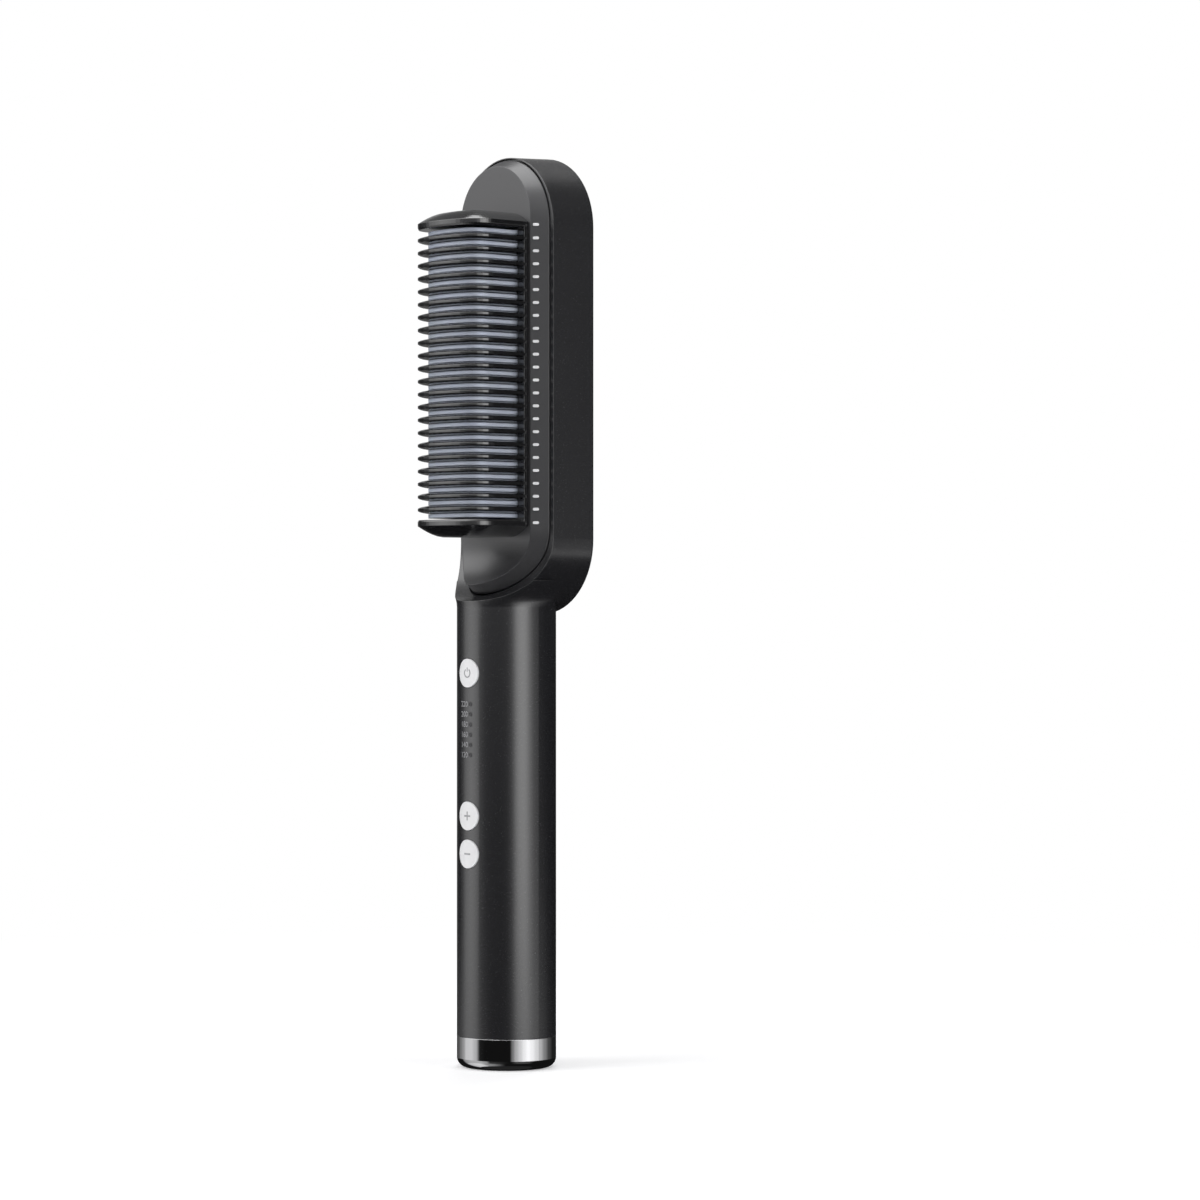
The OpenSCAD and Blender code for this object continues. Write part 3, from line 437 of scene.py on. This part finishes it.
# Finish of each node, by the kind of surface
whiteButton = {"colour": (0.86, 0.86, 0.87), "rough": 0.3, "spread": 1.03}
steelScrew = {"colour": (0.55, 0.56, 0.58), "second": (0.62, 0.62, 0.62), "rough": 0.3}
finishes = {
    mouldedPlastic: {
        "main_housing": {"colour": (0.012, 0.012, 0.014), "rough": 0.26, "gloss": 1.9, "edge": 0.00025},
        "front_cover": {"colour": (0.03, 0.03, 0.033), "rough": 0.36, "gloss": 1.8, "edge": 0.0004},
        "comb_guard": {"colour": (0.006, 0.006, 0.007), "rough": 0.14, "gloss": 2.0, "edge": 0.0003},
        # guard clips: their near-white colour is a painted highlight, standing in for the small glints at the
        # ridges' roots
        "guard_clips": {"colour": (0.8, 0.8, 0.82), "rough": 0.35},
        "insulation_film": {"colour": (0.42, 0.2, 0.04), "rough": 0.25},
        "thermistor": {"colour": (0.5, 0.14, 0.04), "rough": 0.15},
        "thermal_fuse": {"colour": (0.75, 0.7, 0.58), "rough": 0.45},
        "heater_leads": {"colour": (0.4, 0.03, 0.025), "rough": 0.5},
        "power_button": whiteButton,
        "plus_button": whiteButton,
        "minus_button": whiteButton,
        "indicator_lens": {"colour": (0.02, 0.02, 0.022), "rough": 0.15},
        "indicator_lamps": {"colour": (0.75, 0.8, 0.35), "rough": 0.3},
        "tact_switches": {"colour": (0.03, 0.03, 0.032), "rough": 0.4},
        "power_relay": {"colour": (0.03, 0.08, 0.22), "rough": 0.35},
        "filter_capacitor": {"colour": (0.5, 0.28, 0.04), "rough": 0.25},
        "board_carrier": {"colour": (0.6, 0.6, 0.61), "rough": 0.5},
        "end_cap": {"colour": (0.015, 0.015, 0.016), "rough": 0.45},
        "cord_bush": {"colour": (0.02, 0.02, 0.021), "rough": 0.55},
        "cord_clamp": {"colour": (0.03, 0.03, 0.031), "rough": 0.5},
    },
    crownedPlastic: {
        "back_panel": {
            "colour": (0.007, 0.007, 0.008), "rough": 0.24, "gloss": 1.8,
            "centres": ((0, 0.017, 0.25105), (0, 0.017, 0.1606)),
            "levelNormal": (0, 1, 0), "levelTo": 0.0032, "curvedFrom": 0.006},
    },
    endShadedMetal: {
        # accent ring: the deep colour towards its round ends is painted shade, not a second dye
        "accent_ring": {
            "colour": (0.92, 0.52, 0.84), "second": (0.96, 0.6, 0.9), "rough": 0.22, "metallic": 0.25,
            "deep": (0.42, 0.09, 0.32), "middle": 0.2058, "deepFrom": 0.049, "deepTo": 0.066},
    },
    workedMetal: {
        "heating_plate": {
            "colour": (0.74, 0.81, 1.0), "second": (0.84, 0.9, 1.0), "rough": 0.45, "metallic": 0.15,
            "stretch": (0.05, 0.05, 1), "edge": 0.00055},
        "cover_screws": steelScrew,
        "contact_strip": {"colour": (0.72, 0.52, 0.2), "second": (0.78, 0.58, 0.26), "rough": 0.3},
        "heater_bracket": {"colour": (0.6, 0.61, 0.63), "second": (0.68, 0.69, 0.7), "rough": 0.35},
        "bracket_screws": steelScrew,
        "lead_terminals": {"colour": (0.62, 0.62, 0.6), "second": (0.7, 0.7, 0.68), "rough": 0.28},
        "carrier_screws": steelScrew,
        "end_ring": {
            "colour": (0.55, 0.55, 0.56), "second": (0.56, 0.56, 0.57), "rough": 0.03, "roughSpread": 0.03,
            "depth": 0.01},
        "bush_clip": {"colour": (0.5, 0.51, 0.53), "second": (0.58, 0.58, 0.58), "rough": 0.35},
        "clamp_screws": steelScrew,
    },
    speckledCeramic: {
        "heating_tablets": {
            "colour": (0.2, 0.21, 0.23), "second": (0.34, 0.35, 0.37), "rough": 0.55, "roughSpread": 0.2,
            "specks": 2200, "depth": 0.2, "relief": 0.00003},
    },
    pressedMica: {
        "mica_board": {
            "colour": (0.52, 0.46, 0.34), "second": (0.7, 0.65, 0.54), "rough": 0.3, "roughSpread": 0.3,
            "flakes": 700, "depth": 0.3, "relief": 0.00005},
    },
    solderMask: {
        "control_board": {
            "colour": (0.02, 0.14, 0.05), "second": (0.05, 0.24, 0.09), "rough": 0.32, "roughSpread": 0.2,
            "tracks": 300, "trackWidth": 0.06, "shift": 0.37, "depth": 0.4, "relief": 0.00005},
    },
}


def dressNodes(table):
    for paint, pieces in table.items():
        for name, values in pieces.items():
            nodes[name].data.materials.clear()
            nodes[name].data.materials.append(makeMaterial(name + "Finish", paint, values))


print("finishes of the packed pieces")
dressNodes(finishes)

# Marks on the buttons and beside the indicator: thin, each on the surface that carries it
buttonSigns = {
    "powerSign": {"button": "power_button", "radius": 0.00125, "stroke": 0.0004, "turn": 292, "steps": 36,
                  "weld": 0.0000001, "barLength": 0.0013, "barLow": 0.0004},
    "plusSign": {"button": "plus_button", "length": 0.0027, "stroke": 0.0005, "arms": 4},
    "minusSign": {"button": "minus_button", "length": 0.0027, "stroke": 0.0005, "arms": 2},
}
signBody = {"depth": 0.00016, "proud": 0.00003, "edge": 0.00006, "segments": 2}
levelNumbers = {
    "texts": ("120", "140", "160", "180", "200", "220"),
    "lowest": 0.0943,       # height of the lowest window
    "pitch": 0.00305,       # from window to window
    "middle": -0.0019,      # middle of a number, sideways from the buttons' line
    "ahead": 0.02,          # written this far before the axis, then pressed on the handle
    "size": 0.0024,
    "curveSteps": 3,
    "lift": 0.00001,
    "thickness": 0.00004,
}
signInk = {"colour": (0.3, 0.3, 0.31), "rough": 0.4, "edge": 0.00005}
endFace = {"facing": 0.95, "offAxis": 0.00001}    # how a stroke's end face is told from its others


def faceTowards(piece, direction):
    # leaves edit mode on with the face selected that ends the piece in one direction
    for part in (piece.data.vertices, piece.data.edges):
        part.foreach_set("select", [False]*len(part))
    for face in piece.data.polygons:
        facing = face.normal.dot(direction)
        offAxis = face.center.cross(direction).length
        face.select = facing > endFace["facing"] and offAxis < endFace["offAxis"]
    bpy.ops.object.mode_set(mode="EDIT")
    bpy.ops.mesh.select_mode(type="FACE")


def applyModifier(piece, kind, **settings):
    modifier = piece.modifiers.new(kind.lower(), kind)
    for name, value in settings.items():
        setattr(modifier, name, value)
    bpy.context.view_layer.objects.active = piece
    bpy.ops.object.modifier_apply(modifier=modifier.name)


def makeStrokes(values, depth):
    # a plus or a minus: arms pulled out of a small block in its middle, the sideways ones first
    stroke = values["stroke"]
    bpy.ops.mesh.primitive_cube_add(size=1, scale=(stroke, depth, stroke))
    piece = bpy.context.object
    bpy.ops.object.transform_apply(scale=True)
    reach = (values["length"] - stroke)/2
    for way in ((1, 0, 0), (-1, 0, 0), (0, 0, 1), (0, 0, -1))[:values["arms"]]:
        faceTowards(piece, Vector(way))
        bpy.ops.mesh.extrude_region_move(TRANSFORM_OT_translate={"value": tuple(reach*part for part in way)})
        bpy.ops.object.mode_set(mode="OBJECT")
    return piece


def makePowerMark(values, depth):
    # an open ring spun from its section, and a bar through the gap at the top
    start = math.radians(90 + (360 - values["turn"])/2)
    bpy.ops.mesh.primitive_plane_add(size=1, location=(values["radius"], 0, 0))
    ring = bpy.context.object
    ring.scale = (values["stroke"], depth, 1)
    bpy.ops.object.transform_apply(location=True, scale=True)
    bpy.ops.object.mode_set(mode="EDIT")
    bpy.ops.mesh.select_all(action="SELECT")
    bpy.ops.mesh.spin(steps=values["steps"], angle=math.radians(values["turn"]), center=(0, 0, 0),
                      axis=(0, 1, 0))
    bpy.ops.mesh.select_all(action="SELECT")
    bpy.ops.mesh.remove_doubles(threshold=values["weld"])
    bpy.ops.mesh.normals_make_consistent(inside=False)
    bpy.ops.object.mode_set(mode="OBJECT")
    ring.rotation_euler = (0, -start, 0)
    bpy.ops.object.transform_apply(rotation=True)
    middle = values["barLow"] + values["barLength"]/2
    bpy.ops.mesh.primitive_cube_add(size=1, location=(0, 0, middle),
                                    scale=(values["stroke"], depth, values["barLength"]))
    bpy.ops.object.transform_apply(location=True, scale=True)
    ring.select_set(True)
    bpy.context.view_layer.objects.active = ring
    bpy.ops.object.join()
    return ring


def makeButtonSigns(table, body, ink):
    for name, values in table.items():
        bpy.ops.object.select_all(action="DESELECT")
        make = makePowerMark if "turn" in values else makeStrokes
        piece = make(values, body["depth"])
        piece.name = name
        applyModifier(piece, "BEVEL", width=body["edge"], segments=body["segments"], limit_method="ANGLE")
        low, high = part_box(values["button"])
        front = low[1] + body["depth"]/2 - body["proud"]
        piece.location = ((low[0] + high[0])/2, front, (low[2] + high[2])/2)
        bpy.ops.object.transform_apply(location=True)
        piece.data.materials.append(ink)
        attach(piece, values["button"])


def makeLevelNumbers(values, ink):
    numbers = []
    for step, text in enumerate(values["texts"]):
        bpy.ops.object.select_all(action="DESELECT")
        bpy.ops.object.text_add(rotation=(math.pi/2, 0, 0), location=(
            values["middle"], -values["ahead"], values["lowest"] + step*values["pitch"]))
        number = bpy.context.object
        number.data.body = text
        number.data.size = values["size"]
        number.data.align_x = "CENTER"
        number.data.align_y = "CENTER"
        number.data.resolution_u = values["curveSteps"]
        bpy.ops.object.convert(target="MESH")
        bpy.ops.object.transform_apply(location=True, rotation=True, scale=True)
        numbers.append(number)
    for number in numbers:
        number.select_set(True)
    bpy.ops.object.join()
    piece = bpy.context.object
    piece.name = "levelNumbers"
    applyModifier(piece, "SHRINKWRAP", target=nodes["main_housing"], wrap_method="PROJECT",
                  use_project_y=True, use_positive_direction=True, use_negative_direction=False,
                  offset=values["lift"])
    applyModifier(piece, "SOLIDIFY", thickness=values["thickness"], offset=1)
    piece.data.materials.append(ink)
    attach(piece, "brush")


print("signs")
inkFinish = makeMaterial("signInk", mouldedPlastic, signInk)
makeButtonSigns(buttonSigns, signBody, inkFinish)
makeLevelNumbers(levelNumbers, inkFinish)

bpy.context.scene.view_settings.view_transform = "Standard"
